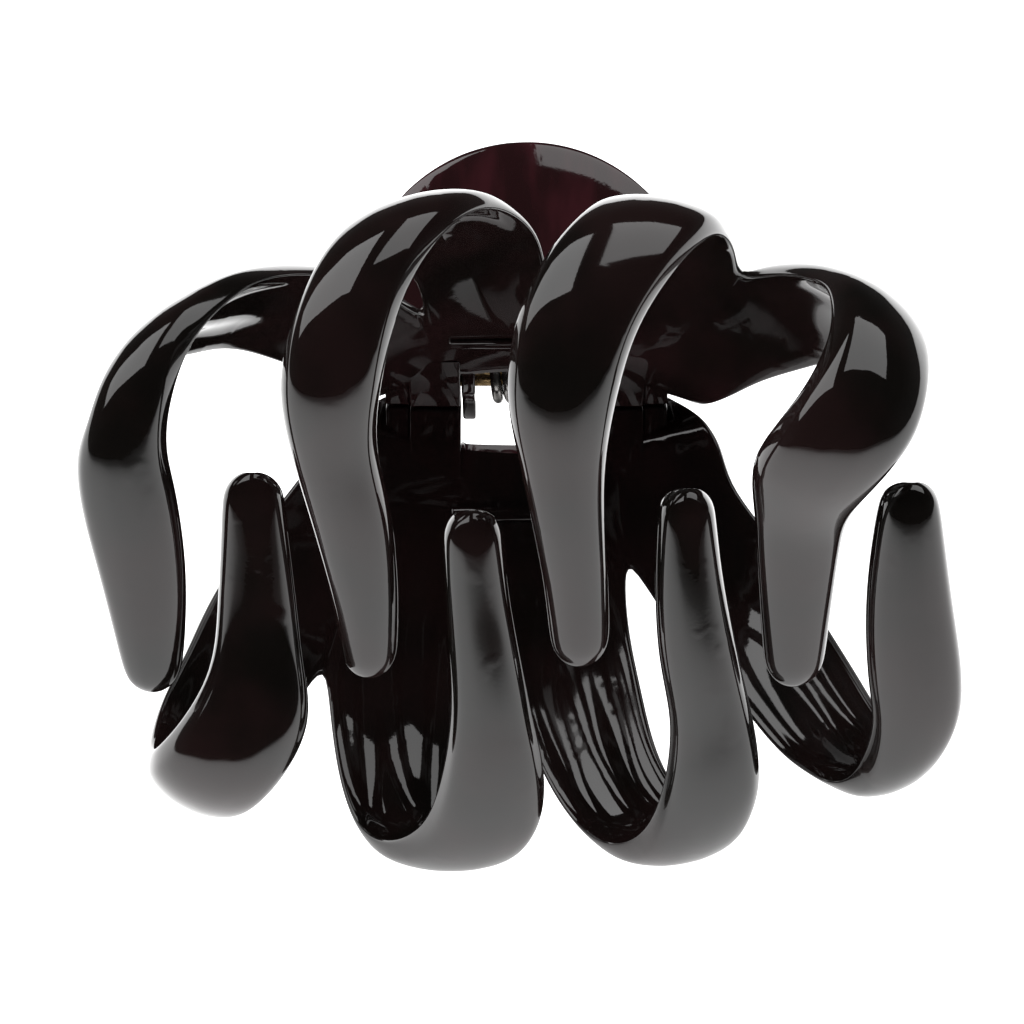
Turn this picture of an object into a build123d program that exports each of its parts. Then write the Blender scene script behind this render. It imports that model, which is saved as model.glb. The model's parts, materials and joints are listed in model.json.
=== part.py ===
"""Octopus hair clip: two tentacled jaws on a hinge pin, with a torsion spring."""

import math
import os

from build123d import *

# Everything is laid out with the clip closed, in millimetres: X across the clip, Y from the
# arm tips back to the hinge, Z up from the middle plane in which the two jaws meet.

# Reach of the jaw and its arms
hinge_back = 51.0        # from the plane of the arm tips to the hinge pin
jaw_rise = 33.0          # from the middle plane up to the inner face at the highest crest
arm_pitch = 21.2         # between neighbouring arm tips of one jaw
arm_width = 13.0         # a middle arm at its root
arm_thick = 3.6          # an arm at its front bend
groove_deep = 0.7        # the two channels along an arm's inner face
groove_least = 0.05      # what is left of them near the tip

# Saddle that carries the arms
saddle_wall = 2.8
window_half = 7.5        # half the width of the spring window
window_front = 41.4
window_back = 57.0

# Hinge
pin_radius = 1.0
pin_play = 0.05          # between the pin and its holes
lug_radius = 2.95
lug_wide = 2.6
lug_inner = 7.8          # from the middle to the first lug's near face
side_play = 0.3          # between two neighbouring lugs
pin_chamfer = 0.2
running_gap = 0.31       # between a lug and what it turns against
seam = 0.3               # between the two jaws in the middle plane
cheek_front = 42.5       # foot of the sloped cheek beside the window
cheek_slope = 27.0       # degrees that the cheek leans from upright

# Thumb tab
tab_radius = 18.0
tab_thick = 2.6
tab_slope = 47.0         # degrees from the middle plane
tab_reach = 27.0         # from the pin to the tab's far edge
tab_round = 1.1

# Torsion spring
wire_radius = 0.6
coil_radius = 2.4        # to the middle of the wire
coil_half = 3.6          # half the length of the coil
coil_turns = 6           # counted with the part turn that the legs leave out
leg_long = 12.0
knee = 1.02              # the ball where a leg leaves the coil, as a share of the wire

# Arm stations from the tip to the root. across, back, rise, width, thick and groove are shares
# of arm_pitch, hinge_back, jaw_rise, arm_width, arm_thick and groove_deep. turn and bank are the
# degrees by which the section turns about Z and leans up to its right.
columns = ("across", "back", "rise", "width", "turn", "bank", "thick", "groove")
arm_tables = {
    "outer_left": [
        (-1.765, 0.020, -0.280, 0.370, 0, 0, 0.720, 0),
        (-1.805, 0.015, 0.030, 0.500, 0, 0, 0.835, 0),
        (-1.850, 0.010, 0.280, 0.610, 0, 3, 0.945, 0),
        (-1.860, 0.015, 0.470, 0.645, 0, 9, 1.000, 0.1),
        (-1.800, 0.050, 0.615, 0.700, 0, 24, 1.000, 0.3),
        (-1.695, 0.115, 0.695, 0.770, 0, 34, 1.000, 0.6),
        (-1.555, 0.205, 0.705, 0.815, 0, 41, 0.970, 0.8),
        (-1.430, 0.305, 0.665, 0.885, -3, 46, 0.945, 1),
        (-1.235, 0.460, 0.575, 0.970, -11, 44, 0.915, 1),
        (-0.995, 0.595, 0.445, 1.090, -14, 43, 0.890, 0.9),
        (-0.730, 0.715, 0.265, 1.075, -15, 38, 0.835, 0.5),
        (-0.565, 0.775, 0.185, 0.925, -10, 20, 0.720, 0),
    ],
    "inner_left": [
        (-0.765, 0.035, -0.255, 0.385, 0, 0, 0.720, 0),
        (-0.790, 0.015, -0.020, 0.430, 0, 0, 0.835, 0),
        (-0.845, 0.005, 0.235, 0.530, 0, 0, 0.945, 0),
        (-0.895, -0.005, 0.470, 0.640, 0, 0, 1.000, 0),
        (-0.885, -0.010, 0.695, 0.760, 0, 4, 1.000, 0.1),
        (-0.810, 0.060, 0.895, 0.775, 0, 9, 1.000, 0.4),
        (-0.640, 0.180, 1.000, 0.830, -10, 14, 0.970, 0.8),
        (-0.440, 0.315, 0.965, 0.875, -12, 24, 0.945, 1),
        (-0.310, 0.440, 0.835, 0.990, -13.5, 30, 0.915, 1),
        (-0.225, 0.560, 0.665, 1.000, -7, 24, 0.890, 0.9),
        (-0.190, 0.685, 0.395, 1.000, 0, 5, 0.835, 0.5),
        (-0.165, 0.775, 0.235, 0.925, 0, 5, 0.720, 0),
    ],
    "inner_right": [
        (0.250, 0.005, -0.195, 0.385, 0, 0, 0.720, 0),
        (0.230, 0.005, 0.045, 0.430, 0, 0, 0.835, 0),
        (0.195, 0.000, 0.285, 0.525, 0, 0, 0.945, 0),
        (0.175, -0.010, 0.450, 0.630, 0, 0, 1.000, 0),
        (0.180, -0.020, 0.635, 0.755, 0, 0, 1.000, 0.1),
        (0.245, 0.015, 0.825, 0.860, 0, 0, 0.970, 0.3),
        (0.405, 0.100, 0.965, 0.890, -3, -3, 0.915, 0.7),
        (0.565, 0.220, 1.000, 0.970, -8, -5, 0.890, 1),
        (0.650, 0.360, 0.895, 1.045, -10, -5, 0.890, 1),
        (0.680, 0.520, 0.695, 1.140, -5, -8, 0.890, 0.9),
        (0.635, 0.685, 0.380, 1.075, 0, -20, 0.835, 0.5),
        (0.470, 0.775, 0.205, 0.925, 0, -14, 0.720, 0),
    ],
    "outer_right": [
        (1.275, 0.035, -0.290, 0.390, 0, 0, 0.720, 0),
        (1.265, 0.015, -0.030, 0.475, 0, 0, 0.835, 0),
        (1.265, 0.005, 0.205, 0.630, 0, -14, 0.945, 0),
        (1.300, 0.000, 0.365, 0.745, 0, -24, 1.000, 0),
        (1.405, 0.000, 0.505, 0.830, 0, -27, 1.055, 0.1),
        (1.540, 0.020, 0.620, 0.860, 0, -28, 1.140, 0.3),
        (1.630, 0.080, 0.695, 0.845, 0, -34, 1.165, 0.5),
        (1.640, 0.170, 0.710, 0.875, -5, -38, 1.140, 0.8),
        (1.585, 0.255, 0.685, 0.955, 0, -40, 1.055, 1),
        (1.465, 0.360, 0.635, 1.030, 8, -42, 0.970, 1),
        (1.295, 0.500, 0.530, 1.130, 10, -42, 0.890, 0.9),
        (0.965, 0.665, 0.335, 1.115, 20, -42, 0.835, 0.5),
        (0.730, 0.775, 0.150, 0.770, 10, -25, 0.720, 0),
    ],
}

# An arm's section: shares of its half width and of its thickness
wall_share = 0.45        # straight side wall, up to where the outer arc starts
rim_share = 0.78         # from the middle to where the rim ends and a channel starts
ridge_share = 0.14       # half the low ridge between the two channels
tip_round = 0.95         # the tip's dome, against the half width there
tip_angles = (75, 50, 25)

# Saddle sections from the web between the arms back to the tab: shares of hinge_back, of the
# half width at the hinge, of jaw_rise for the side and the middle, and of saddle_wall.
saddle_half = 15.0
saddle_columns = ("back", "half", "side", "middle", "wall")
saddle_table = [
    (0.706, 1.560, 0.165, 0.364, 1.60),
    (0.768, 1.405, 0.075, 0.240, 1.50),
    (0.824, 1.285, 0.000, 0.150, 1.30),
    (0.902, 1.100, 0.010, 0.103, 1.05),
    (1.000, 1.000, 0.060, 0.145, 1.36),
]

slope = math.radians(tab_slope)
tab_along = Vector(0, math.cos(slope), math.sin(slope))
tab_out = Vector(0, -math.sin(slope), math.cos(slope))
pin_at = Vector(0, hinge_back, 0)
tab_inner = lug_radius + running_gap       # from the pin to the tab's inner face
pin_half = lug_inner + 2 * lug_wide + side_play
far = 2 * (hinge_back + tab_reach)         # longer than any cut needs


def station_values(row):
    """The named lengths of one arm station."""
    value = dict(zip(columns, row))
    centre = Vector(value["across"] * arm_pitch, value["back"] * hinge_back, value["rise"] * jaw_rise)
    turn = math.radians(value["turn"])
    bank = math.radians(value["bank"])
    across = Vector(math.cos(turn) * math.cos(bank), math.sin(turn) * math.cos(bank), math.sin(bank))
    groove = max(value["groove"] * groove_deep, groove_least)
    return centre, across, value["width"] * arm_width / 2, value["thick"] * arm_thick, groove


def arm_section(plane, half, thick, groove, lift):
    """One closed section of an arm: side walls, an arched outer face, two channels inside."""
    wall = lift + thick * wall_share
    rim = half * rim_share
    ridge = half * ridge_share
    deep = (rim + ridge) / 2
    with BuildSketch(plane) as section:
        with BuildLine():
            Line((half, lift), (half, wall))
            ThreePointArc((half, wall), (0, lift + thick), (-half, wall))
            Line((-half, wall), (-half, lift))
            Line((-half, lift), (-rim, lift))
            ThreePointArc((-rim, lift), (-deep, lift + groove), (-ridge, lift))
            Line((-ridge, lift), (ridge, lift))
            ThreePointArc((ridge, lift), (deep, lift + groove), (rim, lift))
            Line((rim, lift), (half, lift))
        make_face()
    return section.sketch


def arm_sections(table):
    """The sections of one arm: the rounded tip first, then every station up to the root."""
    stations = [station_values(row) for row in table]
    sections = []
    for index, (centre, across, half, thick, groove) in enumerate(stations):
        before = stations[max(index - 1, 0)][0]
        after = stations[min(index + 1, len(stations) - 1)][0]
        outward = across.cross(after - before).normalized()
        backward = across.cross(outward)
        if index == 0:
            reach = half * tip_round
            for angle in tip_angles:
                share = math.cos(math.radians(angle))
                start = centre + backward * (reach * math.sin(math.radians(angle)))
                plane = Plane(origin=start, x_dir=across, z_dir=backward)
                sections.append(arm_section(plane, half * share, thick * share, groove * share,
                                            thick * (1 - share) / 2))
        plane = Plane(origin=centre, x_dir=across, z_dir=backward)
        sections.append(arm_section(plane, half, thick, groove, 0))
    return sections


def saddle_sections():
    """Arched bands across the clip, from the web between the arms to the foot of the tab."""
    sections = []
    for row in saddle_table:
        value = dict(zip(saddle_columns, row))
        half = value["half"] * saddle_half
        side = value["side"] * jaw_rise
        middle = value["middle"] * jaw_rise
        wall = value["wall"] * saddle_wall
        with BuildSketch(Plane.XZ.offset(-value["back"] * hinge_back)) as band:
            with BuildLine():
                ThreePointArc((-half, side), (0, middle), (half, side))
                Line((half, side), (half, side + wall))
                ThreePointArc((half, side + wall), (0, middle + wall), (-half, side + wall))
                Line((-half, side + wall), (-half, side))
            make_face()
        sections.append(band.sketch)
    return sections


# Thumb tab: a round disc with softened edges, cut off straight where the saddle takes over
tab_plane = Plane(origin=pin_at + tab_out * tab_inner, x_dir=(1, 0, 0), z_dir=tab_out)
with BuildPart() as tab:
    with BuildSketch(tab_plane):
        with Locations((0, tab_reach - tab_radius)):
            Circle(tab_radius)
    extrude(amount=tab_thick)
    fillet(tab.edges(), radius=tab_round)
    split(bisect_by=Plane.XZ.offset(-(hinge_back - running_gap)), keep=Keep.BOTTOM)

# Hinge lug: an eye round the pin with a neck up to the saddle and the tab
neck_top = tab_inner + tab_thick / 2
with BuildSketch(Plane.YZ) as lug_outline:
    with Locations((hinge_back, 0)):
        Circle(lug_radius)
    neck_back = pin_at + tab_along * lug_radius
    neck_head = neck_back + tab_out * neck_top
    with BuildLine():
        Polyline(
            (window_front + (hinge_back - window_front) / 2, seam / 2),
            (window_front + (hinge_back - window_front) / 2, neck_top),
            (neck_head.Y, neck_head.Z),
            (neck_back.Y, neck_back.Z),
            (hinge_back, seam / 2),
            close=True,
        )
    make_face()

# Cheek: the wall beside the window that closes the jaw down to the middle plane
cheek_back = hinge_back - lug_radius - running_gap
cheek_top = saddle_table[0][3] * jaw_rise
cheek_lean = cheek_top * math.tan(math.radians(cheek_slope))
with BuildSketch(Plane.YZ) as cheek_outline:
    with BuildLine():
        Polyline(
            (cheek_front, seam / 2),
            (cheek_front - cheek_lean, cheek_top),
            (cheek_back, neck_top),
            (cheek_back, seam / 2),
            close=True,
        )
    make_face()

# One jaw, with its arms above the middle plane
with BuildPart() as jaw:
    loft(sections=saddle_sections())
    split(bisect_by=Plane.XY.offset(seam / 2), keep=Keep.TOP)
    for side in (-1, 1):
        cheek_start = lug_inner if side > 0 else -pin_half
        extrude(Plane.YZ.offset(cheek_start) * cheek_outline.sketch_local, amount=pin_half - lug_inner)
    add(tab.part)
    with Locations(Location(pin_at, (0, 90, 0))):
        Cylinder(tab_inner, 2 * (pin_half + side_play), mode=Mode.SUBTRACT)
    with BuildSketch(Plane.XY):
        with Locations((0, (window_front + window_back) / 2)):
            Rectangle(2 * window_half, window_back - window_front)
    extrude(amount=far, mode=Mode.SUBTRACT)
    for start in (-lug_inner - lug_wide, lug_inner + lug_wide + side_play):
        extrude(Plane.YZ.offset(start) * lug_outline.sketch_local, amount=lug_wide)
    with Locations(Location(pin_at, (0, 90, 0))):
        Cylinder(pin_radius + pin_play, far, mode=Mode.SUBTRACT)
    for name in arm_tables:
        loft(sections=arm_sections(arm_tables[name]), ruled=True)

# Hinge pin
with BuildPart() as pin:
    with Locations(Location(pin_at, (0, 90, 0))):
        Cylinder(pin_radius, 2 * pin_half)
    chamfer(pin.edges(), length=pin_chamfer)

# Torsion spring: a coil on the pin, and a leg from each end along the inner face of a tab
coil_degrees = 360 * coil_turns - 2 * (90 + tab_slope)
coil_start = Plane(
    origin=pin_at - Vector(coil_half, 0, 0),
    x_dir=tab_out,
    z_dir=(1, 0, 0),
)
coil_path = coil_start * Helix(
    pitch=2 * coil_half * 360 / coil_degrees,
    height=2 * coil_half,
    radius=coil_radius,
)
with BuildPart() as spring:
    with BuildSketch(coil_path ^ 0):
        Circle(wire_radius)
    sweep(path=coil_path, is_frenet=True)
    for side in (-1, 1):
        foot = pin_at + Vector(side * coil_half, tab_out.Y * coil_radius, -side * tab_out.Z * coil_radius)
        with Locations(foot):
            Sphere(knee * wire_radius)
        with BuildSketch(Plane(origin=foot, z_dir=Vector(0, tab_along.Y, -side * tab_along.Z))):
            Circle(wire_radius)
        extrude(amount=leg_long)


def rest_tilt():
    """The tilt at which the lower jaw stands on an arm's crest and on its tab's far edge."""
    edge = pin_at + tab_along * tab_reach + tab_out * (tab_inner + tab_thick / 2)
    steepest = 0
    for table in arm_tables.values():
        stations = [station_values(row) for row in table]
        for before, here, after in zip(stations, stations[1:], stations[2:]):
            outward = here[1].cross(after[0] - before[0]).normalized()
            crest = here[0] + outward * here[3]
            steepest = max(steepest, math.degrees(math.atan2(crest.Z - edge.Z, edge.Y - crest.Y)))
    return steepest


# The clip as it lies on a table: tilted onto its crests and tab, its lowest point at zero
tilted = Location((0, 0, 0), (-rest_tilt(), 0, 0))
half_turn = Location((0, 0, 0), (0, 180, 0))
upper_box = jaw.part.moved(tilted).bounding_box()
lower_box = jaw.part.moved(tilted * half_turn).bounding_box()
middle = (min(upper_box.min.Y, lower_box.min.Y) + max(upper_box.max.Y, lower_box.max.Y)) / 2
placed = Location((0, -middle, -lower_box.min.Z)) * tilted

os.makedirs("parts", exist_ok=True)
pieces = {
    "jaw_lower": jaw.part.moved(placed * half_turn),
    "jaw_upper": jaw.part.moved(placed),
    "hinge_pin": pin.part.moved(placed),
    "torsion_spring": spring.part.moved(placed),
}
for name, shape in pieces.items():
    with BuildPart() as piece:
        add(shape)
    piece.part.label = name
    export_step(piece.part, f"parts/{name}.step")
    print(name, round(piece.part.volume, 1), piece.part.is_valid)
print("rest tilt", round(rest_tilt(), 3), "hinge at", (placed * Location(pin_at)).position)
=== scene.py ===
# Octopus hair clip: moulded jaws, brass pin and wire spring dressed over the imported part
import json
import math

import bmesh
import bpy
import numpy as np
from mathutils import Matrix, Vector


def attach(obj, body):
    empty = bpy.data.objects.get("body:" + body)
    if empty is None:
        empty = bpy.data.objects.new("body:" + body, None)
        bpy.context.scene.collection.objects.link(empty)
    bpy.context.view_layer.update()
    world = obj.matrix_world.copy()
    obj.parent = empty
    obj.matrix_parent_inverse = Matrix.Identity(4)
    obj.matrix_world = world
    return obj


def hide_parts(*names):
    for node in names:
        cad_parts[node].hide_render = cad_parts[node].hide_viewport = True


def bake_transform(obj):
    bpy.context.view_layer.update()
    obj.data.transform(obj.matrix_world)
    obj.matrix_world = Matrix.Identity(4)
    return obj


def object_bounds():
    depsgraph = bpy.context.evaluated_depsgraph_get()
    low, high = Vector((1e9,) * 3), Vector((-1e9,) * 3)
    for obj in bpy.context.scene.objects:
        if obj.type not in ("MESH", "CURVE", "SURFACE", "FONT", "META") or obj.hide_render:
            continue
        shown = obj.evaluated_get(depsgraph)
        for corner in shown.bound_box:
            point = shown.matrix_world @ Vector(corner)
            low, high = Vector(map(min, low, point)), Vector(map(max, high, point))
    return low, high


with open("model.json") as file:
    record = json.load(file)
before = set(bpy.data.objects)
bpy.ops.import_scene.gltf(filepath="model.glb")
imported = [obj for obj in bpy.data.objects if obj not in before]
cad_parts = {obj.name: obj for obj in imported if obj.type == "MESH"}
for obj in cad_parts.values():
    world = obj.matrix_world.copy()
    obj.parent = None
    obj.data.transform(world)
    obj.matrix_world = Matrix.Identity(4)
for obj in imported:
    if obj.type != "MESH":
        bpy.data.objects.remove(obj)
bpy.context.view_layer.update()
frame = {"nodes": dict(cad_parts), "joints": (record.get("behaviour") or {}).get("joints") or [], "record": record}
bpy.ops.object.select_all(action='DESELECT')
print("frame loaded:", sorted(frame["nodes"]))

# the clip is laid out closed in millimetres, arm tips at y = 0, and then tilted onto the table
layout = {
    "hingeBack": 51,        # from the arm tips to the pin
    "tabSlope": 47,         # degrees from the plane where the jaws meet
    "tabRadius": 18,
    "tabReach": 27,         # from the pin to the tab's far edge
    "tabThick": 2.6,
    "tabInner": 3.26,       # from the pin to the tab's inner face
    "tabEdge": .42,         # how much the tab's rim is rounded off
    "tabFall": .22,         # how far the outer face falls towards the rim, as a share
    "tabFallPower": 6,
    "windowHalf": 7.5,
    "wall": 2.8,
    "smoothAngle": 48,
    # distance back from the tips, how much light the plastic lets through there, painted into its colour as a
    # backlight glow
    "backlitShare": [(22, 0), (36, .12), (48, .3), (54, 1)],
}
perMetre = 1000
pinAt = Vector(frame["joints"][0]["pos_m"])
tabMount = [m for m in frame["record"]["mounts"] if m["name"] == "tab_face_upper"][0]
restTilt = math.radians(90 + layout["tabSlope"]) - math.atan2(tabMount["axis"][2], tabMount["axis"][1])
toTable = (Matrix.Translation(pinAt) @ Matrix.Rotation(-restTilt, 4, 'X') @ Matrix.Scale(1 / perMetre, 4)
           @ Matrix.Translation((0, -layout["hingeBack"], 0)))
halfTurn = Matrix.Rotation(math.pi, 4, 'Y')
tabAngle = math.radians(layout["tabSlope"])
tabAlong = Vector((0, math.cos(tabAngle), math.sin(tabAngle)))
tabOut = Vector((0, -math.sin(tabAngle), math.cos(tabAngle)))
tabFoot = Vector((0, layout["hingeBack"], 0)) + tabOut * layout["tabInner"]
tabMiddle = tabFoot + tabAlong * (layout["tabReach"] - layout["tabRadius"])

# arm stations, tip to root: x, y, z, width, turn about z, bank up to the right, thickness, channel's depth
arms = {
    "outerLeft": [
        (-37.82, 1.2, -8, 6.5, 0, 0, 4.2, 0),
        (-38.26, .8, 1.25, 8.65, 0, 0, 4.1, 0),
        (-39.21, .4, 9.45, 9.6, 0, 3, 4, 0),
        (-39.7, .25, 15.35, 8.9, 0, 9, 3.85, .1),
        (-38.25, 1.2, 20.05, 9.2, 0, 24, 3.7, .3),
        (-35.85, 4.4, 23.05, 9.5, 0, 34, 3.6, .6),
        (-33, 9.85, 23.55, 10.6, 0, 41, 3.5, .8),
        (-30.5, 14.95, 22.55, 12.2, -3, 46, 3.4, .8),
        (-26.5, 23.1, 19.8, 13.1, -11, 44, 3.3, .45),
        (-21.4, 30.15, 15.5, 14.8, -14, 43, 3.2, .1),
        (-15.5, 36.5, 9.1, 14, -15, 38, 3, 0),
    ],
    "innerLeft": [
        (-15.88, 2, -7.1, 5.8, 0, 0, 4.2, 0),
        (-16.24, 1.3, -.45, 6.85, 0, 0, 4.3, 0),
        (-17.34, .5, 8.05, 8.1, 0, 0, 4.2, 0),
        (-18.95, -.1, 15.75, 8.5, 0, 0, 3.85, 0),
        (-18.9, -.9, 23.25, 10.1, 0, 4, 3.7, .1),
        (-16.8, 2.35, 30.05, 10.6, 0, 9, 3.6, .4),
        (-13.1, 8.55, 33.55, 11.1, -10, 14, 3.5, .8),
        (-9.2, 15.35, 32.45, 11.6, -12, 24, 3.4, 1),
        (-6.45, 22.1, 27.7, 13.9, -13.5, 30, 3.3, .8),
        (-4.6, 28.35, 22, 14.2, -7, 24, 3.2, .4),
        (-4, 35, 13, 13, 0, 5, 3, .1),
    ],
    "innerRight": [
        (5.33, .95, -5.1, 6.1, 0, 0, 4.2, 0),
        (4.84, .3, 1.75, 6.55, 0, 0, 4.1, 0),
        (3.94, -.6, 9.65, 7.5, 0, 0, 4, 0),
        (3.5, -1.1, 15.05, 8.6, 0, 0, 3.85, 0),
        (3.4, -1.4, 21.25, 10.6, 0, 0, 3.7, .1),
        (4.75, .15, 27.95, 12, 0, 0, 3.5, .3),
        (8.3, 4.55, 32.95, 13, -3, -3, 3.3, .7),
        (12.1, 10.65, 34.15, 12.6, -8, -5, 3.2, 1),
        (13.9, 17.9, 30.4, 13.8, -10, -5, 3.2, .8),
        (14.4, 26.25, 23.3, 14.8, -5, -8, 3.2, .4),
        (13.5, 35, 12.5, 14, 0, -20, 3, .1),
    ],
    "outerRight": [
        (27.12, 2.2, -8.35, 6.3, 0, 0, 3.3, 0),
        (27.01, 1.35, -.75, 7.5, 0, 0, 3.3, 0),
        (26.96, .4, 6.95, 9, 0, -14, 3.5, 0),
        (27.25, -1.3, 12.25, 11.3, 0, -24, 3.9, 0),
        (29.5, -2.8, 16.5, 12, 0, -27, 4.3, .1),
        (32.2, -2.2, 20.15, 12.1, 0, -28, 4.2, .3),
        (34, 2.3, 23.05, 11.3, 0, -34, 4, .3),
        (34.3, 7.95, 24.3, 11.6, -5, -38, 3.8, .3),
        (33.4, 12.6, 23.6, 12.4, 0, -40, 3.6, .3),
        (31.1, 18.15, 21.7, 13.4, 8, -42, 3.5, .1),
        (27.5, 25.5, 17.7, 14.7, 10, -42, 3.2, 0),
        (20.5, 34, 11, 14.5, 20, -42, 3, 0),
    ],
}

# one arm's section: shares of the half width, and the channels of its inner face as shares of the thickness
section = {
    "across": (-1, -.9, -.78, -.62, -.36, -.18, 0, .18, .36, .62, .78, .9, 1),
    "channel": (0, 0, .02, .14, .14, .03, -.01, .03, .14, .14, .02, 0, 0),
    # how high the side walls stand, as shares of the thickness, at some stations
    "wallShare": [(0, .42), (1.5, .42), (4, .2), (8.5, .2), (9.8, .45)],
    "saddleWall": .45,
    "archPower": 2.2,
    "tipRound": 1.12,
    "tipAngles": (22, 45, 66, 82),
    "step": .5,             # stations between two rows of the cage
    "look": .1,             # stations ahead and behind that give the arm's direction
}
armColumns = len(section["across"]) - 1

saddle = {
    # from the web back to the tab: y, left x, right x, left z, right z, middle z, dome
    "rows": [
        (40.3, -20.4, 21.2, 1.5, 1.7, 6.5, .15),
        (41.4, -19.7, 19.9, .7, .8, 4.95, 0),
        (43.2, -18.4, 18.4, .3, .3, 4.1, 0),
        (45.5, -16.8, 16.8, .35, .35, 3.5, 0),
        (48.2, -15.6, 15.6, .8, .8, 3.6, 0),
        (50.8, -15.2, 15.2, 1.8, 1.8, 4.6, 0),
    ],
    # where the arms' edges meet the web: left edge, crotch, both ends of the middle bar, crotch, right edge
    "web": [(-21.4, 38.9, 2.75), (-10.3, 37.2, 10.1), (3, 36.1, 11.5),
            (6.4, 36.1, 11.4), (16.2, 37.2, 7.6), (23, 38.5, 3.4)],
    "webColumns": (0, 12, 24, 28, 40, 52),
    "webDome": .5,
    # the side angle of each curved row of the round tab and its reach in the middle
    "tabRows": [(104, 5.9), (97, 8.6), (89, 12.3), (80, 16.8), (70, 20.6), (60, 24), (53, 26.1), (49, 27)],
    "tabHole": .45,         # the window's greatest share of the tab's half width
    "flatRow": .01,         # a row that bulges less than this is straight
    # rows in which two arms are still one band: station of the first, of the second, dome
    "leftPair": [(9.75, 9.9, 1)],
    "rightPair": [(10, 11, .7), (9.5, 10.5, .85), (9, 10, 1)],
    "windowColumns": (16, 28),
    "windowRows": (2, 8),
    "windowCrease": .8,
    "edgeWall": (.62, .86, .97, 1),     # the wall's share at the side edge and the next columns
    # the numbers that the rows of the bands and of their first and second arms start from
    "rowNumbers": (100, 1000, 10000),
}
lastColumn = saddle["webColumns"][-1]


# A row of numbers at a fractional place in a list of rows, on a smooth curve.
def smoothRow(rows, t):
    t = min(max(t, 0), len(rows) - 1)
    i = min(int(t), len(rows) - 2)
    f = t - i
    points = np.array(rows, float)
    p1, p2 = points[i], points[i + 1]
    p0 = points[i - 1] if i > 0 else 2 * p1 - p2
    p3 = points[i + 2] if i + 2 < len(rows) else 2 * p2 - p1
    return .5 * (2 * p1 + (p2 - p0) * f + (2 * p0 - 5 * p1 + 4 * p2 - p3) * f ** 2
                 + (3 * p1 - p0 - 3 * p2 + p3) * f ** 3)


# How high the domed outer face stands at a share of the half width.
def archShare(s, wall=section["saddleWall"]):
    rise = max(0, 1 - abs(s) ** section["archPower"]) ** .5
    return wall + (1 - wall) * rise


# Middle, directions and sizes of an arm at a fractional station.
def armFrame(name, t):
    rows = arms[name]
    x, y, z, width, turn, bank, thick, channel = smoothRow(rows, t)
    turn, bank = math.radians(turn), math.radians(bank)
    across = Vector((math.cos(turn) * math.cos(bank), math.sin(turn) * math.cos(bank), math.sin(bank)))
    look = section["look"]
    ahead = Vector(smoothRow(rows, t + look)[:3]) - Vector(smoothRow(rows, t - look)[:3])
    outward = across.cross(ahead).normalized()
    return Vector((x, y, z)), across, outward, width / 2, thick, channel


# Inner and outer points of one arm section.
def armRing(name, t, shrink=1, beyond=0):
    centre, across, outward, half, thick, channel = armFrame(name, t)
    forward = across.cross(outward).normalized()
    middle = centre + forward * (beyond * half) + outward * (thick / 2)
    wall = float(np.interp(t, *zip(*section["wallShare"])))
    inner, outer = [], []
    for s, depth in zip(section["across"], section["channel"]):
        low = depth * channel * thick - thick / 2
        high = archShare(s, wall) * thick - thick / 2
        inner.append(middle + (across * (s * half) + outward * low) * shrink)
        outer.append(middle + (across * (s * half) + outward * high) * shrink)
    return inner, outer, outward


# Two neighbouring arms as one band that share the column between them.
def pairRing(first, second, t1, t2, dome):
    innerA, outerA, outA = armRing(first, t1)
    innerB, outerB, outB = armRing(second, t2)
    crotch = (innerA[-1] + innerB[0]) / 2
    inner, outer = [], []
    for index, s in enumerate(section["across"]):
        pull = ((1 + s) / 2) ** 3
        shift = (crotch - innerA[-1]) * pull
        fill = outA * (archShare(0) - archShare(s)) * (1 - dome) * armFrame(first, t1)[4] * pull
        inner.append(innerA[index] + shift)
        outer.append(outerA[index] + shift + fill)
    for index, s in enumerate(section["across"]):
        pull = ((1 - s) / 2) ** 3
        shift = (crotch - innerB[0]) * pull
        fill = outB * (archShare(0) - archShare(s)) * (1 - dome) * armFrame(second, t2)[4] * pull
        if index == 0:
            outer[-1] = (outer[-1] + outerB[0] + shift + fill) / 2
            continue
        inner.append(innerB[index] + shift)
        outer.append(outerB[index] + shift + fill)
    return inner, outer


# How far along the web each column lies, in millimetres, and its share of its own arm's half width.
def columnPlaces():
    places, shares = [0.0], [-1.0]
    anchors = [Vector(p) for p in saddle["web"]]
    for index, (start, end) in enumerate(zip(saddle["webColumns"], saddle["webColumns"][1:])):
        base = places[-1]
        width = (anchors[index + 1] - anchors[index]).length
        count = end - start
        for step in range(1, count + 1):
            s = section["across"][step] if count == armColumns else 2 * step / count - 1
            places.append(base + width * (s + 1) / 2)
            shares.append(s if count == armColumns else 1.0)
    return places, shares


columnAt, columnShare = columnPlaces()


# Every column's x between two sides, with the window's columns between -hole and hole.
def spread(left, right, hole):
    first, last = saddle["windowColumns"]
    marks = [columnAt[0], columnAt[first], columnAt[last], columnAt[-1]]
    return np.interp(columnAt, marks, [left, -hole, hole, right])


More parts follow.
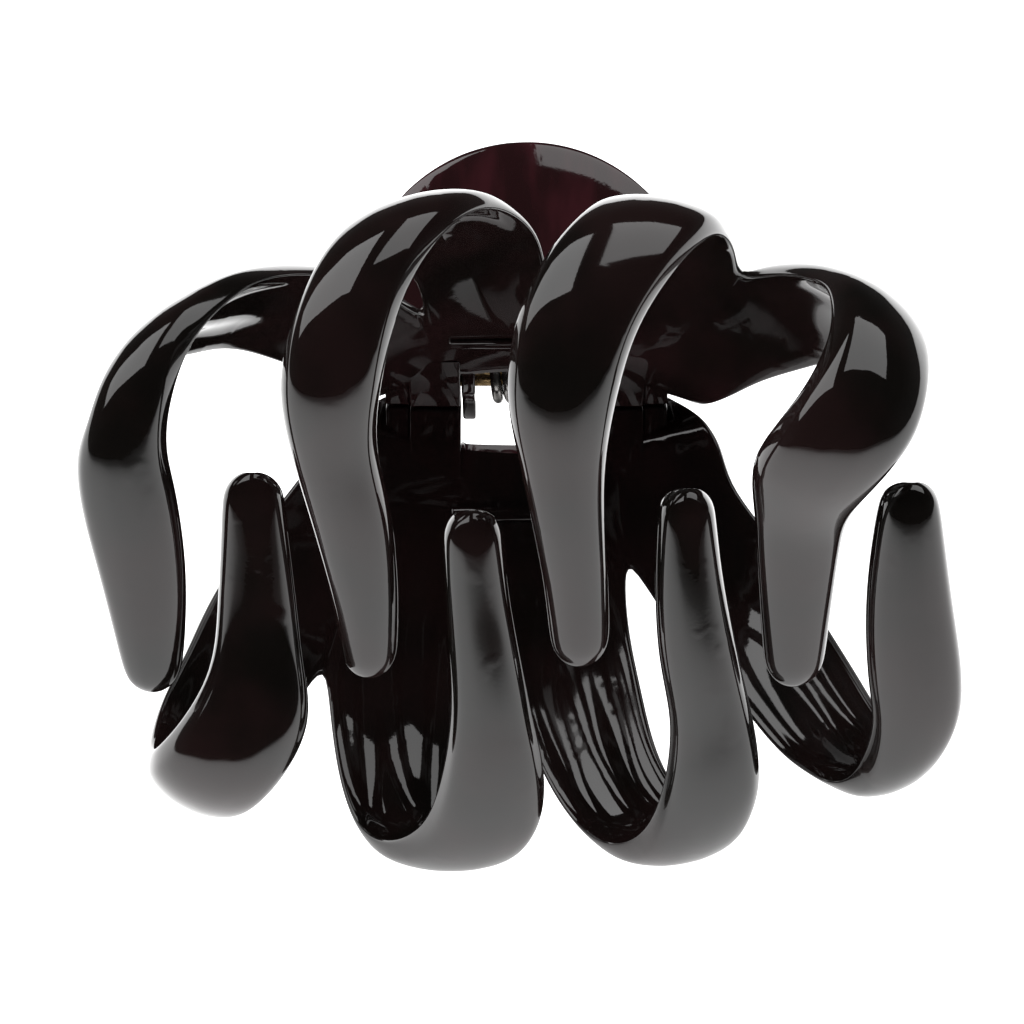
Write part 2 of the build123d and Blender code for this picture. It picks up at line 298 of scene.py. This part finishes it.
# Inner points of the web, the saddle and the tab, row by row from the web back.
def saddleGrid():
    rows, domes = [], []
    web = [Vector(p) for p in saddle["web"]]
    marks = [columnAt[c] for c in saddle["webColumns"]]
    rows.append([Vector([np.interp(place, marks, [w[k] for w in web]) for k in range(3)])
                 for place in columnAt])
    domes.append(saddle["webDome"])
    for y, left, right, leftZ, rightZ, middle, dome in saddle["rows"]:
        row = []
        for x in spread(left, right, layout["windowHalf"]):
            share = abs(x / (left if x < 0 else right))
            side = leftZ if x < 0 else rightZ
            row.append(Vector((x, y, middle + (side - middle) * share ** 2)))
        rows.append(row)
        domes.append(dome)
    centre = layout["tabReach"] - layout["tabRadius"]
    for angle, reach in saddle["tabRows"]:
        half = layout["tabRadius"] * math.sin(math.radians(angle))
        back = centre + layout["tabRadius"] * math.cos(math.radians(angle))
        bulge = reach - back
        hole = min(layout["windowHalf"], saddle["tabHole"] * half)
        row = []
        for x in spread(-half, half, hole):
            ahead = back
            if abs(bulge) > saddle["flatRow"]:
                curve = (half ** 2 + bulge ** 2) / (2 * bulge)
                ahead = reach - curve + math.copysign(max(curve ** 2 - x ** 2, 0) ** .5, curve)
            row.append(tabFoot + Vector((x, 0, 0)) + tabAlong * ahead)
        rows.append(row)
        domes.append(0)
    return rows, domes


# Inner and outer points of every row, the outer ones pushed out along the surface's normal.
def saddlePoints():
    rows, domes = saddleGrid()
    firstTab = len(saddle["rows"]) + 1
    inner, outer = [], []
    for r, row in enumerate(rows):
        low, high = [], []
        for c, point in enumerate(row):
            before, after = rows[max(r - 1, 0)][c], rows[min(r + 1, len(rows) - 1)][c]
            left, right = row[max(c - 1, 0)], row[min(c + 1, lastColumn)]
            normal = (right - left).cross(after - before).normalized()
            if r >= firstTab:
                normal = tabOut
            onArm = columnShare[c] < 1 or c == lastColumn
            arched = archShare(columnShare[c]) if onArm else section["saddleWall"]
            edge = min(c, lastColumn - c)
            flat = saddle["edgeWall"][min(edge, len(saddle["edgeWall"]) - 1)]
            share = flat * (1 - domes[r]) + arched * domes[r]
            wall = layout["wall"] if r < firstTab else layout["tabThick"]
            soft = 0
            if r >= firstTab:
                fromMiddle = (point - tabMiddle).length / layout["tabRadius"]
                share = 1 - layout["tabFall"] * fromMiddle ** layout["tabFallPower"]
                soft = layout["tabEdge"] if edge == 0 or r == len(rows) - 1 else 0
            low.append(point + normal * soft)
            high.append(point + normal * (wall * share - soft))
        inner.append(low)
        outer.append(high)
    return inner, outer


# Moves the freshly extruded, selected points to their places and numbers their row.
def placeRow(mesh, inner, outer, first, row):
    shape = bmesh.from_edit_mesh(mesh)
    column, side, rowOf = [shape.verts.layers.int[name] for name in ("column", "side", "row")]
    for vert in shape.verts:
        if vert.select:
            points = inner if vert[side] == 0 else outer
            vert.co = points[vert[column] - first]
            vert[rowOf] = row
    bmesh.update_edit_mesh(mesh)


# Selects the open end faces of one row between two columns.
def selectCap(mesh, row, first, last):
    shape = bmesh.from_edit_mesh(mesh)
    column, rowOf = shape.verts.layers.int["column"], shape.verts.layers.int["row"]
    for face in shape.faces:
        face.select_set(False)
    for face in shape.faces:
        if all(v[rowOf] == row and first <= v[column] <= last for v in face.verts):
            face.select_set(True)
    shape.select_flush(True)
    bmesh.update_edit_mesh(mesh)


# Draws the selected end on to one more row.
def extrudeRow(mesh, inner, outer, first, row):
    bpy.ops.mesh.extrude_region_move(TRANSFORM_OT_translate={"value": (0, 0, 0)})
    placeRow(mesh, inner, outer, first, row)


# Draws one arm out of the saddle's open end, station by station, and rounds its tip.
def extrudeArm(mesh, name, startRow, first, startT, number):
    selectCap(mesh, startRow, first, first + armColumns)
    t, row = startT, number
    while t > section["step"] / 2:
        t = max(t - section["step"], 0)
        inner, outer, _ = armRing(name, t)
        extrudeRow(mesh, inner, outer, first, row)
        row += 1
    for angle in section["tipAngles"]:
        turn = math.radians(angle)
        inner, outer, _ = armRing(name, 0, math.cos(turn), section["tipRound"] * math.sin(turn))
        extrudeRow(mesh, inner, outer, first, row)
        row += 1


# Opens the spring's window through both skins and walls it round.
def cutWindow(mesh):
    shape = bmesh.from_edit_mesh(mesh)
    column, side, rowOf = [shape.verts.layers.int[name] for name in ("column", "side", "row")]
    firstColumn, lastOpen = saddle["windowColumns"]
    firstRow, lastRow = saddle["windowRows"]
    for face in shape.faces:
        face.select_set(False)
    for face in shape.faces:
        inside = all(firstColumn <= v[column] <= lastOpen and firstRow + 1 <= v[rowOf] <= lastRow + 2
                     for v in face.verts)
        oneSkin = len({v[side] for v in face.verts}) == 1
        if inside and oneSkin:
            face.select_set(True)
    bmesh.update_edit_mesh(mesh)
    bpy.ops.mesh.delete(type='FACE')
    bpy.ops.mesh.select_mode(type='EDGE')
    bpy.ops.mesh.select_all(action='DESELECT')
    bpy.ops.mesh.select_non_manifold()
    bpy.ops.transform.edge_crease(value=saddle["windowCrease"])
    bpy.ops.mesh.bridge_edge_loops()
    bpy.ops.mesh.select_mode(type='FACE')


# The moulded shell of one jaw: tab, saddle and four arms drawn out of one strip.
def makeJaw():
    inner, outer = saddlePoints()
    bpy.ops.mesh.primitive_grid_add(x_subdivisions=lastColumn, y_subdivisions=1, size=1)
    jaw = bpy.context.object
    mesh = jaw.data
    for name in ("column", "side", "row"):
        mesh.attributes.new(name, 'INT', 'POINT')
    for index in range(len(mesh.vertices)):
        mesh.attributes["column"].data[index].value = index % (lastColumn + 1)
        mesh.attributes["side"].data[index].value = index // (lastColumn + 1)
    bpy.ops.object.mode_set(mode='EDIT')
    bpy.ops.mesh.select_mode(type='FACE')
    bpy.ops.mesh.select_all(action='SELECT')
    last = len(inner)
    placeRow(mesh, inner[-1], outer[-1], 0, last)
    bpy.ops.mesh.extrude_region_move(TRANSFORM_OT_translate={"value": (0, 0, 0)})
    placeRow(mesh, inner[-2], outer[-2], 0, last - 1)
    for row in range(last - 3, -1, -1):
        extrudeRow(mesh, inner[row], outer[row], 0, row + 1)
    columns = saddle["webColumns"]
    band, firstArm, secondArm = saddle["rowNumbers"]
    for first, names, pairs in ((columns[0], ("outerLeft", "innerLeft"), saddle["leftPair"]),
                                (columns[3], ("innerRight", "outerRight"), saddle["rightPair"])):
        selectCap(mesh, 1, first, first + 2 * armColumns)
        number = band + first
        for t1, t2, dome in pairs:
            number += 1
            low, high = pairRing(names[0], names[1], t1, t2, dome)
            extrudeRow(mesh, low, high, first, number)
        extrudeArm(mesh, names[0], number, first, pairs[-1][0], firstArm + band * first)
        extrudeArm(mesh, names[1], number, first + armColumns, pairs[-1][1], secondArm + band * first)
    cutWindow(mesh)
    bpy.ops.mesh.select_all(action='SELECT')
    bpy.ops.mesh.normals_make_consistent(inside=False)
    bpy.ops.object.mode_set(mode='OBJECT')
    return jaw


jaw = makeJaw()
print("jaw cage:", len(jaw.data.vertices), "points,", len(jaw.data.polygons), "faces")


# Applies every modifier of one object.
def applyModifiers(piece):
    bpy.ops.object.select_all(action='DESELECT')
    piece.select_set(True)
    bpy.context.view_layer.objects.active = piece
    for name in [m.name for m in piece.modifiers]:
        bpy.ops.object.modifier_apply(modifier=name)


subdivide = jaw.modifiers.new("soft", 'SUBSURF')
subdivide.levels = subdivide.render_levels = 2
applyModifiers(jaw)

# the hinge: eyes round the pin with a neck into the tab, and a cheek on each side of the window
hinge = {
    "holeRadius": 1.05,
    # start, width, radius, the neck's way in degrees from straight back, its length and its spread
    "eyes": [(-10.4, 2.6, 2.95, 137, 2.2, 58), (10.7, 2.6, 2.95, 137, 2.2, 58)],
    "ear": (-7.2, 1.5, 4.75, 147, 5.2, 42),
    "eyeSides": 64,
    "facing": .9,           # how straight a face must look to count as an end face, and the hole's limit
    "bevel": .28,
    "bevelAngle": 35,
    # each cheek block: near x, far x, how far its front is set back
    "cheekX": [(7.3, 13, 0), (13, 15.7, .6)],
    # a cheek's outline as y, z: foot, head, back, heel
    "cheek": [(42.5, .15), (39, 7.2), (47.74, 4.7), (47.74, .15)],
    "rib": {"half": 8.4, "at": (36.9, 10.35), "size": (1.5, .9), "slope": -52, "bevel": .34},
    "pinRadius": 1,
    "pinHalf": 13.3,
    "pinSides": 48,
    "pinBevel": .22,
    "pinBevelAngle": 60,
}


# One eye with its hole, the side of its rim that faces the neck's way drawn out into the neck.
def makeEye(start, wide, radius, neckWay, neckLong, neckSpread):
    bpy.ops.object.select_all(action='DESELECT')
    bpy.ops.mesh.primitive_cylinder_add(vertices=hinge["eyeSides"], radius=radius, depth=wide,
                                        location=(start + wide / 2, layout["hingeBack"], 0),
                                        rotation=(0, math.pi / 2, 0))
    eye = bpy.context.object
    bpy.ops.object.transform_apply(location=True, rotation=True, scale=True)
    bpy.ops.object.mode_set(mode='EDIT')
    bpy.ops.mesh.select_mode(type='FACE')
    selectFaces(eye.data, lambda face: abs(face.normal.x) > hinge["facing"])
    bpy.ops.mesh.inset(thickness=radius - hinge["holeRadius"], depth=0)
    bpy.ops.mesh.bridge_edge_loops()
    way = Vector((0, math.cos(math.radians(neckWay)), math.sin(math.radians(neckWay))))
    least = math.cos(math.radians(neckSpread))
    selectFaces(eye.data, lambda face: face.normal.dot(way) > least and outsideEye(face, radius))
    bpy.ops.mesh.extrude_region_move(TRANSFORM_OT_translate={"value": way * neckLong})
    bpy.ops.object.mode_set(mode='OBJECT')
    return eye


# Tells the rim's faces from those of the hole.
def outsideEye(face, radius):
    middle = face.calc_center_median()
    return math.hypot(middle.y - layout["hingeBack"], middle.z) > hinge["facing"] * radius


# Selects the faces of a mesh in edit mode that a test picks.
def selectFaces(mesh, test):
    shape = bmesh.from_edit_mesh(mesh)
    picked = [face for face in shape.faces if test(face)]
    for face in shape.faces:
        face.select_set(False)
    for face in picked:
        face.select_set(True)
    bmesh.update_edit_mesh(mesh)


# The wall beside the window, from a cube whose corners are moved to the cheek's outline.
def makeCheek(low, high, recess):
    bpy.ops.object.select_all(action='DESELECT')
    bpy.ops.mesh.primitive_cube_add(size=1, location=((low + high) / 2, 0, 0))
    cheek = bpy.context.object
    bpy.ops.object.transform_apply(location=True, rotation=True, scale=True)
    foot, head, back, heel = hinge["cheek"]
    for vert in cheek.data.vertices:
        front, top = vert.co.y < 0, vert.co.z > 0
        vert.co.x = low if vert.co.x < (low + high) / 2 else high
        vert.co.y, vert.co.z = (head if top else foot) if front else (back if top else heel)
        if front:
            vert.co.y += recess
    return cheek


# The rounded rib across the inside of the web, where the arms' insides end.
def makeRib():
    rib = hinge["rib"]
    bpy.ops.object.select_all(action='DESELECT')
    bpy.ops.mesh.primitive_cube_add(size=1, location=(0, rib["at"][0], rib["at"][1]),
                                    rotation=(math.radians(rib["slope"]), 0, 0))
    bar = bpy.context.object
    bar.scale = (2 * rib["half"], rib["size"][0], rib["size"][1])
    bpy.ops.object.transform_apply(location=True, rotation=True, scale=True)
    bevelPiece(bar, rib["bevel"])
    return bar


# Rounds the sharp edges of a small piece.
def bevelPiece(piece, width, angle=hinge["bevelAngle"]):
    edge = piece.modifiers.new("edge", 'BEVEL')
    edge.width = width
    edge.segments = 3
    edge.limit_method = 'ANGLE'
    edge.angle_limit = math.radians(angle)
    applyModifiers(piece)


# Joins other pieces into one.
def joinPieces(target, others):
    bpy.ops.object.select_all(action='DESELECT')
    for piece in others:
        piece.select_set(True)
    target.select_set(True)
    bpy.context.view_layer.objects.active = target
    bpy.ops.object.join()
    return target


fittings = [makeEye(*sizes) for sizes in hinge["eyes"] + [hinge["ear"]]]
for side in (-1, 1):
    for inner, outer, recess in hinge["cheekX"]:
        near, far = sorted((side * inner, side * outer))
        fittings.append(makeCheek(near, far, recess))
for fitting in fittings:
    bevelPiece(fitting, hinge["bevel"])
fittings.append(makeRib())
joinPieces(jaw, fittings)
for name in ("column", "side", "row"):
    jaw.data.attributes.remove(jaw.data.attributes[name])

# painted backlight: how much light shining through the plastic is painted into its colour at each point: most in
# the thin tab, a little in the saddle, none in the arms
places = np.empty(3 * len(jaw.data.vertices), np.float32)
jaw.data.vertices.foreach_get("co", places)
backlitShare = np.interp(places[1::3], *zip(*layout["backlitShare"])).astype(np.float32)
jaw.data.attributes.new("backlitShare", 'FLOAT', 'POINT').data.foreach_set("value", backlitShare)

# the second jaw is the same moulding, turned half a turn about the clip's length
lowerJaw = jaw.copy()
lowerJaw.data = jaw.data.copy()
bpy.context.collection.objects.link(lowerJaw)
jaw.name, lowerJaw.name = "jawUpperShell", "jawLowerShell"
for shell, turn in ((jaw, Matrix.Identity(4)), (lowerJaw, halfTurn)):
    shell.data.transform(toTable @ turn)
    bpy.ops.object.select_all(action='DESELECT')
    shell.select_set(True)
    bpy.context.view_layer.objects.active = shell
    bpy.ops.object.shade_smooth_by_angle(angle=math.radians(layout["smoothAngle"]))
print("jaws finished:", len(jaw.data.polygons), "faces each")


# The pin: a turned rod with rounded ends.
def makePin():
    bpy.ops.object.select_all(action='DESELECT')
    bpy.ops.mesh.primitive_cylinder_add(vertices=hinge["pinSides"], radius=hinge["pinRadius"],
                                        depth=2 * hinge["pinHalf"], location=(0, layout["hingeBack"], 0),
                                        rotation=(0, math.pi / 2, 0))
    pin = bpy.context.object
    bpy.ops.object.transform_apply(location=True, rotation=True, scale=True)
    bevelPiece(pin, hinge["pinBevel"], hinge["pinBevelAngle"])
    pin.name = "hingePin"
    pin.data.transform(toTable)
    bpy.ops.object.shade_smooth_by_angle(angle=math.radians(layout["smoothAngle"]))
    return pin


spring = {
    "wire": .6,
    "radius": 2.4,
    "half": 3.6,
    "turns": 6,             # counted with the part turn that the legs leave out
    "legLong": 12,
    "legSteps": 12,
    "wireSides": 16,
    "stepsPerTurn": 36,
}


# The wire's line: upper leg, coil, lower leg.
def springLine():
    start = math.radians(90 + layout["tabSlope"])
    swept = math.radians(360 * spring["turns"]) - 2 * start
    count = spring["stepsPerTurn"] * spring["turns"]
    points, coil = [], []
    for step in range(count + 1):
        share = step / count
        angle = start + swept * share
        coil.append(Vector((spring["half"] * (2 * share - 1),
                            layout["hingeBack"] + spring["radius"] * math.cos(angle),
                            spring["radius"] * math.sin(angle))))
    for side, foot in ((1, coil[0]), (-1, coil[-1])):
        along = Vector((0, math.cos(tabAngle), side * math.sin(tabAngle)))
        leg = [foot + along * (spring["legLong"] * (step + 1) / spring["legSteps"])
               for step in range(spring["legSteps"])]
        points = leg[::-1] + coil if side > 0 else points + leg
    return points


# The spring: a round wire end drawn along the line ring by ring, closed at both ends.
def makeSpring():
    line = springLine()
    bpy.ops.object.select_all(action='DESELECT')
    bpy.ops.mesh.primitive_circle_add(vertices=spring["wireSides"], radius=spring["wire"], fill_type='NGON')
    wire = bpy.context.object
    bpy.ops.object.mode_set(mode='EDIT')
    bpy.ops.mesh.select_mode(type='FACE')
    bpy.ops.mesh.select_all(action='SELECT')
    side = Vector((1, 0, 0))
    for index, point in enumerate(line):
        ahead = (line[min(index + 1, len(line) - 1)] - line[max(index - 1, 0)]).normalized()
        side = (side - ahead * side.dot(ahead)).normalized()
        rise = ahead.cross(side)
        if index:
            bpy.ops.mesh.extrude_region_move(TRANSFORM_OT_translate={"value": (0, 0, 0)})
        shape = bmesh.from_edit_mesh(wire.data)
        ring = [face for face in shape.faces if face.select][0]
        for step, loop in enumerate(ring.loops):
            turn = 2 * math.pi * step / spring["wireSides"]
            loop.vert.co = point + (side * math.cos(turn) + rise * math.sin(turn)) * spring["wire"]
        bmesh.update_edit_mesh(wire.data)
    bpy.ops.mesh.select_all(action='SELECT')
    bpy.ops.mesh.normals_make_consistent(inside=False)
    bpy.ops.object.mode_set(mode='OBJECT')
    wire.name = "springWire"
    wire.data.transform(toTable)
    bpy.ops.object.shade_smooth_by_angle(angle=math.radians(layout["smoothAngle"]))
    return wire


pin = makePin()
wire = makeSpring()
print("pin and spring finished")


# A material with its nodes, links and main shader.
def newMaterial(name):
    material = bpy.data.materials.new(name)
    material.use_nodes = True
    nodes, links = material.node_tree.nodes, material.node_tree.links
    return material, nodes, links, nodes["Principled BSDF"]


cloudDefaults = (10, 2, .35, .65)    # size, detail, from, to


# Shared by every finish: soft clouds of unevenness between two limits, at a size in millimetres.
def makeCloudGroup():
    group = bpy.data.node_groups.new("clouds", 'ShaderNodeTree')
    for name, value in zip(("Size", "Detail", "From", "To"), cloudDefaults):
        socket = group.interface.new_socket(name, in_out='INPUT', socket_type='NodeSocketFloat')
        socket.default_value = value
    group.interface.new_socket("Place", in_out='INPUT', socket_type='NodeSocketVector')
    group.interface.new_socket("Mask", in_out='OUTPUT', socket_type='NodeSocketFloat')
    nodes, links = group.nodes, group.links
    given, out = nodes.new('NodeGroupInput'), nodes.new('NodeGroupOutput')
    scale = nodes.new('ShaderNodeMath')
    scale.operation = 'DIVIDE'
    scale.inputs[0].default_value = perMetre
    noise, limits = nodes.new('ShaderNodeTexNoise'), nodes.new('ShaderNodeMapRange')
    links.new(given.outputs["Size"], scale.inputs[1])
    links.new(scale.outputs[0], noise.inputs["Scale"])
    links.new(given.outputs["Detail"], noise.inputs["Detail"])
    links.new(given.outputs["Place"], noise.inputs["Vector"])
    links.new(noise.outputs["Fac"], limits.inputs["Value"])
    links.new(given.outputs["From"], limits.inputs["From Min"])
    links.new(given.outputs["To"], limits.inputs["From Max"])
    limits.interpolation_type = 'SMOOTHSTEP'
    links.new(limits.outputs["Result"], out.inputs["Mask"])
    return group


cloudGroup = makeCloudGroup()


# One layer of clouds in a material; stretch makes them longer along one way.
def addClouds(nodes, links, size, detail, low, high, stretch=(1, 1, 1)):
    place, mapping, clouds = (nodes.new(kind) for kind in
                              ('ShaderNodeTexCoord', 'ShaderNodeMapping', 'ShaderNodeGroup'))
    clouds.node_tree = cloudGroup
    mapping.inputs["Scale"].default_value = stretch
    for name, value in (("Size", size), ("Detail", detail), ("From", low), ("To", high)):
        clouds.inputs[name].default_value = value
    links.new(place.outputs["Object"], mapping.inputs["Vector"])
    links.new(mapping.outputs["Vector"], clouds.inputs["Place"])
    return clouds.outputs["Mask"]


# Mixes two colours, each a fixed one or a socket.
def mixColours(nodes, links, share, first, second):
    mix = nodes.new('ShaderNodeMix')
    mix.data_type = 'RGBA'
    links.new(share, mix.inputs["Factor"])
    for source, socket in ((first, mix.inputs["A"]), (second, mix.inputs["B"])):
        if isinstance(source, tuple):
            socket.default_value = source
        else:
            links.new(source, socket)
    return mix.outputs["Result"]


# Stretches a mask to two limits.
def mapValue(nodes, links, value, low, high):
    limits = nodes.new('ShaderNodeMapRange')
    limits.inputs["To Min"].default_value, limits.inputs["To Max"].default_value = low, high
    links.new(value, limits.inputs["Value"])
    return limits.outputs["Result"]


# Stacks bumps, each a height between 0 and 1 and its depth in millimetres.
def stackBumps(nodes, links, shader, layers):
    last = None
    for height, depth in layers:
        bump = nodes.new('ShaderNodeBump')
        bump.inputs["Distance"].default_value = depth / perMetre
        bump.inputs["Strength"].default_value = 1
        links.new(height, bump.inputs["Height"])
        if last:
            links.new(last, bump.inputs["Normal"])
        last = bump.outputs["Normal"]
    links.new(last, shader.inputs["Normal"])


plastic = {
    "dark": (.006, .005, .0044, 1),
    "warm": (.015, .0082, .008, 1),
    # painted glow of light shining through the thin plastic, its dark and warm ends
    "backlitDark": (.022, .0075, .0085, 1),
    "backlitWarm": (.046, .0115, .015, 1),
    "roughness": (.035, .09),
    "ior": 1.5,
    # clouds: size, detail, from, to, stretch
    "mottle": (13, 3, .35, .65),
    "streak": (7, 2, .4, .7, (2.2, .6, .6)),
    "wear": (22, 4, .45, .8),
    # an uneven skin: the clouds and their depth in millimetres
    "skin": [((9, 1, 0, 1), .035), ((3.2, 1, .55, .8), .012), ((.35, 2, .2, .8), .0006)],
}


# Polished plastic: burgundy clouds with a painted glow of light shining through where the moulding is thin, a
# slightly uneven skin.
def makePlastic():
    material, nodes, links, shader = newMaterial("burgundyPlastic")
    mottle = addClouds(nodes, links, *plastic["mottle"])
    streak = addClouds(nodes, links, *plastic["streak"])
    solid = mixColours(nodes, links, mottle, plastic["dark"], plastic["warm"])
    # the painted backlight colour, mixed in by how thin the moulding is
    clear = mixColours(nodes, links, streak, plastic["backlitDark"], plastic["backlitWarm"])
    backlitShare = nodes.new('ShaderNodeAttribute')
    backlitShare.attribute_name = "backlitShare"
    colour = mixColours(nodes, links, backlitShare.outputs["Fac"], solid, clear)
    links.new(colour, shader.inputs["Base Color"])
    wear = addClouds(nodes, links, *plastic["wear"])
    links.new(mapValue(nodes, links, wear, *plastic["roughness"]), shader.inputs["Roughness"])
    shader.inputs["IOR"].default_value = plastic["ior"]
    stackBumps(nodes, links, shader, [(addClouds(nodes, links, *clouds), depth)
                                      for clouds, depth in plastic["skin"]])
    return material


metals = {
    # bright colour, tarnished colour, roughness from and to, stretch of the draw marks
    "brassWire": ((.42, .29, .14, 1), (.16, .1, .05, 1), (.18, .42), (.08, 1, 1)),
    "springSteel": ((.3, .29, .28, 1), (.1, .095, .09, 1), (.16, .4), (1, .3, .3)),
}
metalClouds = {"tarnish": (1.6, 3, .35, .7), "marks": (.22, 2, .3, .7), "markDepth": .004}


# Drawn wire: tarnish in clouds and fine marks along the draw.
def makeMetal(name):
    bright, dull, (smooth, rough), stretch = metals[name]
    material, nodes, links, shader = newMaterial(name)
    tarnish = addClouds(nodes, links, *metalClouds["tarnish"])
    links.new(mixColours(nodes, links, tarnish, bright, dull), shader.inputs["Base Color"])
    links.new(mapValue(nodes, links, tarnish, smooth, rough), shader.inputs["Roughness"])
    shader.inputs["Metallic"].default_value = 1
    marks = addClouds(nodes, links, *metalClouds["marks"], stretch)
    stackBumps(nodes, links, shader, [(marks, metalClouds["markDepth"])])
    return material


burgundy = makePlastic()
brass = makeMetal("brassWire")
steel = makeMetal("springSteel")
for piece, material, slot in ((jaw, burgundy, "clip_plastic"), (lowerJaw, burgundy, "clip_plastic"),
                              (pin, brass, "pin_metal"), (wire, steel, "spring_metal")):
    piece.data.materials.clear()
    piece.data.materials.append(material)

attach(jaw, "upper")
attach(lowerJaw, "lower")
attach(pin, "lower")
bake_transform(wire)
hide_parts("jaw_upper")
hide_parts("jaw_lower")
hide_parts("hinge_pin")
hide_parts("torsion_spring")
print("pieces ride on their bodies")

# plain soft studio: a glowing white table, panels overhead on both sides, a dark side behind the camera
studio = {
    "floorSize": 6,
    "floorColour": (.86, .86, .86, 1),
    "floorRoughness": .6,
    # the table glows most at and behind the clip, less towards the camera: y from, to, glow from, to
    "glow": (-.85, .05, .1, 1.8),
    # a painted shadow under the clip, in what the clip mirrors of the table near itself: distance from, to, share
    # of the glow from, to
    "shade": (.015, .06, .12, 1),
    # place, size, brightness
    "panels": {
        "leftPanel": ((-1.2, .25, 1), (2, 1), 3.2),
        "rightPanel": ((.53, .46, 1), (1.02, .96), 2.4),
    },
    "room": {"dark": .12, "back": .3, "low": 1.2, "frontFrom": -.75, "frontTo": -.2, "lowHeight": .5},
}


# Sets a map range's limits: from, to, result from, result to.
def setLimits(node, values):
    node.interpolation_type = 'SMOOTHSTEP'
    for name, value in zip(("From Min", "From Max", "To Min", "To Max"), values):
        node.inputs[name].default_value = value


# The pale table: it glows evenly for the camera, and for what the clip mirrors it glows less under the clip, a
# painted shadow.
def makeFloor():
    bpy.ops.object.select_all(action='DESELECT')
    bpy.ops.mesh.primitive_plane_add(size=studio["floorSize"], location=(0, 0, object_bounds()[0][2]))
    floor = bpy.context.object
    bpy.ops.object.transform_apply(location=True, rotation=True, scale=True)
    floor.name = "paleFloor"
    material, nodes, links, shader = newMaterial("paleFloorPaint")
    shader.inputs["Base Color"].default_value = studio["floorColour"]
    shader.inputs["Roughness"].default_value = studio["floorRoughness"]
    place, parts, fade, length, shade, path, larger, product = (nodes.new(kind) for kind in (
        'ShaderNodeTexCoord', 'ShaderNodeSeparateXYZ', 'ShaderNodeMapRange', 'ShaderNodeVectorMath',
        'ShaderNodeMapRange', 'ShaderNodeLightPath', 'ShaderNodeMath', 'ShaderNodeMath'))
    setLimits(fade, studio["glow"])
    setLimits(shade, studio["shade"])
    length.operation, larger.operation, product.operation = 'LENGTH', 'MAXIMUM', 'MULTIPLY'
    links.new(place.outputs["Object"], parts.inputs["Vector"])
    links.new(parts.outputs["Y"], fade.inputs["Value"])
    links.new(place.outputs["Object"], length.inputs[0])
    # painted shadow: less glow near the clip, for every ray but the camera's
    links.new(length.outputs["Value"], shade.inputs["Value"])
    links.new(shade.outputs["Result"], larger.inputs[0])
    links.new(path.outputs["Is Camera Ray"], larger.inputs[1])
    links.new(fade.outputs["Result"], product.inputs[0])
    links.new(larger.outputs["Value"], product.inputs[1])
    links.new(product.outputs["Value"], shader.inputs["Emission Strength"])
    shader.inputs["Emission Color"].default_value = (1, 1, 1, 1)
    floor.data.materials.append(material)


# Soft panels over the table that face straight down.
def makePanels():
    for name, (place, (wide, high), brightness) in studio["panels"].items():
        light = bpy.data.lights.new(name, 'AREA')
        light.shape = 'RECTANGLE'
        light.size, light.size_y = wide, high
        light.energy = brightness * math.pi * wide * high
        lamp = bpy.data.objects.new(name, light)
        bpy.context.collection.objects.link(lamp)
        lamp.location = place


# The room round the clip: dark behind the camera, bright near the horizon elsewhere.
def makeRoom():
    world = bpy.data.worlds.new("studioRoom")
    bpy.context.scene.world = world
    world.use_nodes = True
    nodes, links = world.node_tree.nodes, world.node_tree.links
    room = studio["room"]
    way, parts = nodes.new('ShaderNodeTexCoord'), nodes.new('ShaderNodeSeparateXYZ')
    links.new(way.outputs["Generated"], parts.inputs["Vector"])
    height, front = nodes.new('ShaderNodeMapRange'), nodes.new('ShaderNodeMapRange')
    setLimits(height, (0, room["lowHeight"], room["low"], room["back"]))
    setLimits(front, (room["frontFrom"], room["frontTo"], 0, 1))
    links.new(parts.outputs["Z"], height.inputs["Value"])
    links.new(parts.outputs["Y"], front.inputs["Value"])
    light = nodes.new('ShaderNodeMix')
    light.inputs["A"].default_value = room["dark"]
    links.new(front.outputs["Result"], light.inputs["Factor"])
    links.new(height.outputs["Result"], light.inputs["B"])
    links.new(light.outputs["Result"], nodes["Background"].inputs["Strength"])


# the camera looks down on the arm tips, with its distance in millimetres on the clip's own layout
view = {
    "slope": 27.5,
    "distance": 340,
    "sideShare": -14.5 / 3400,
    "upShare": 73 / 3400,
    "lens": 119.53,
    "sensor": 36,
}


# The camera sees the clip from the front and above, square to its layout but for a small shift.
def makeCamera():
    slope = math.radians(view["slope"])
    ahead = Vector((0, math.cos(slope), -math.sin(slope)))
    right = Vector((1, 0, 0))
    up = Vector((0, math.sin(slope), math.cos(slope)))
    place = toTable @ (ahead * -view["distance"])
    aim = toTable.to_3x3() @ (ahead + right * view["sideShare"] + up * view["upShare"])
    aim.normalize()
    across = aim.cross(toTable.to_3x3() @ up).normalized()
    camera = bpy.data.objects.new("photoView", bpy.data.cameras.new("photoView"))
    bpy.context.collection.objects.link(camera)
    camera.data.lens = view["lens"]
    camera.data.sensor_width = view["sensor"]
    turn = Matrix((across, across.cross(aim), -aim)).transposed().to_4x4()
    camera.matrix_world = Matrix.Translation(place) @ turn
    bpy.context.scene.camera = camera


makeFloor()
makePanels()
makeRoom()
makeCamera()
bpy.context.scene.view_settings.view_transform = 'Standard'
print("studio and camera ready")
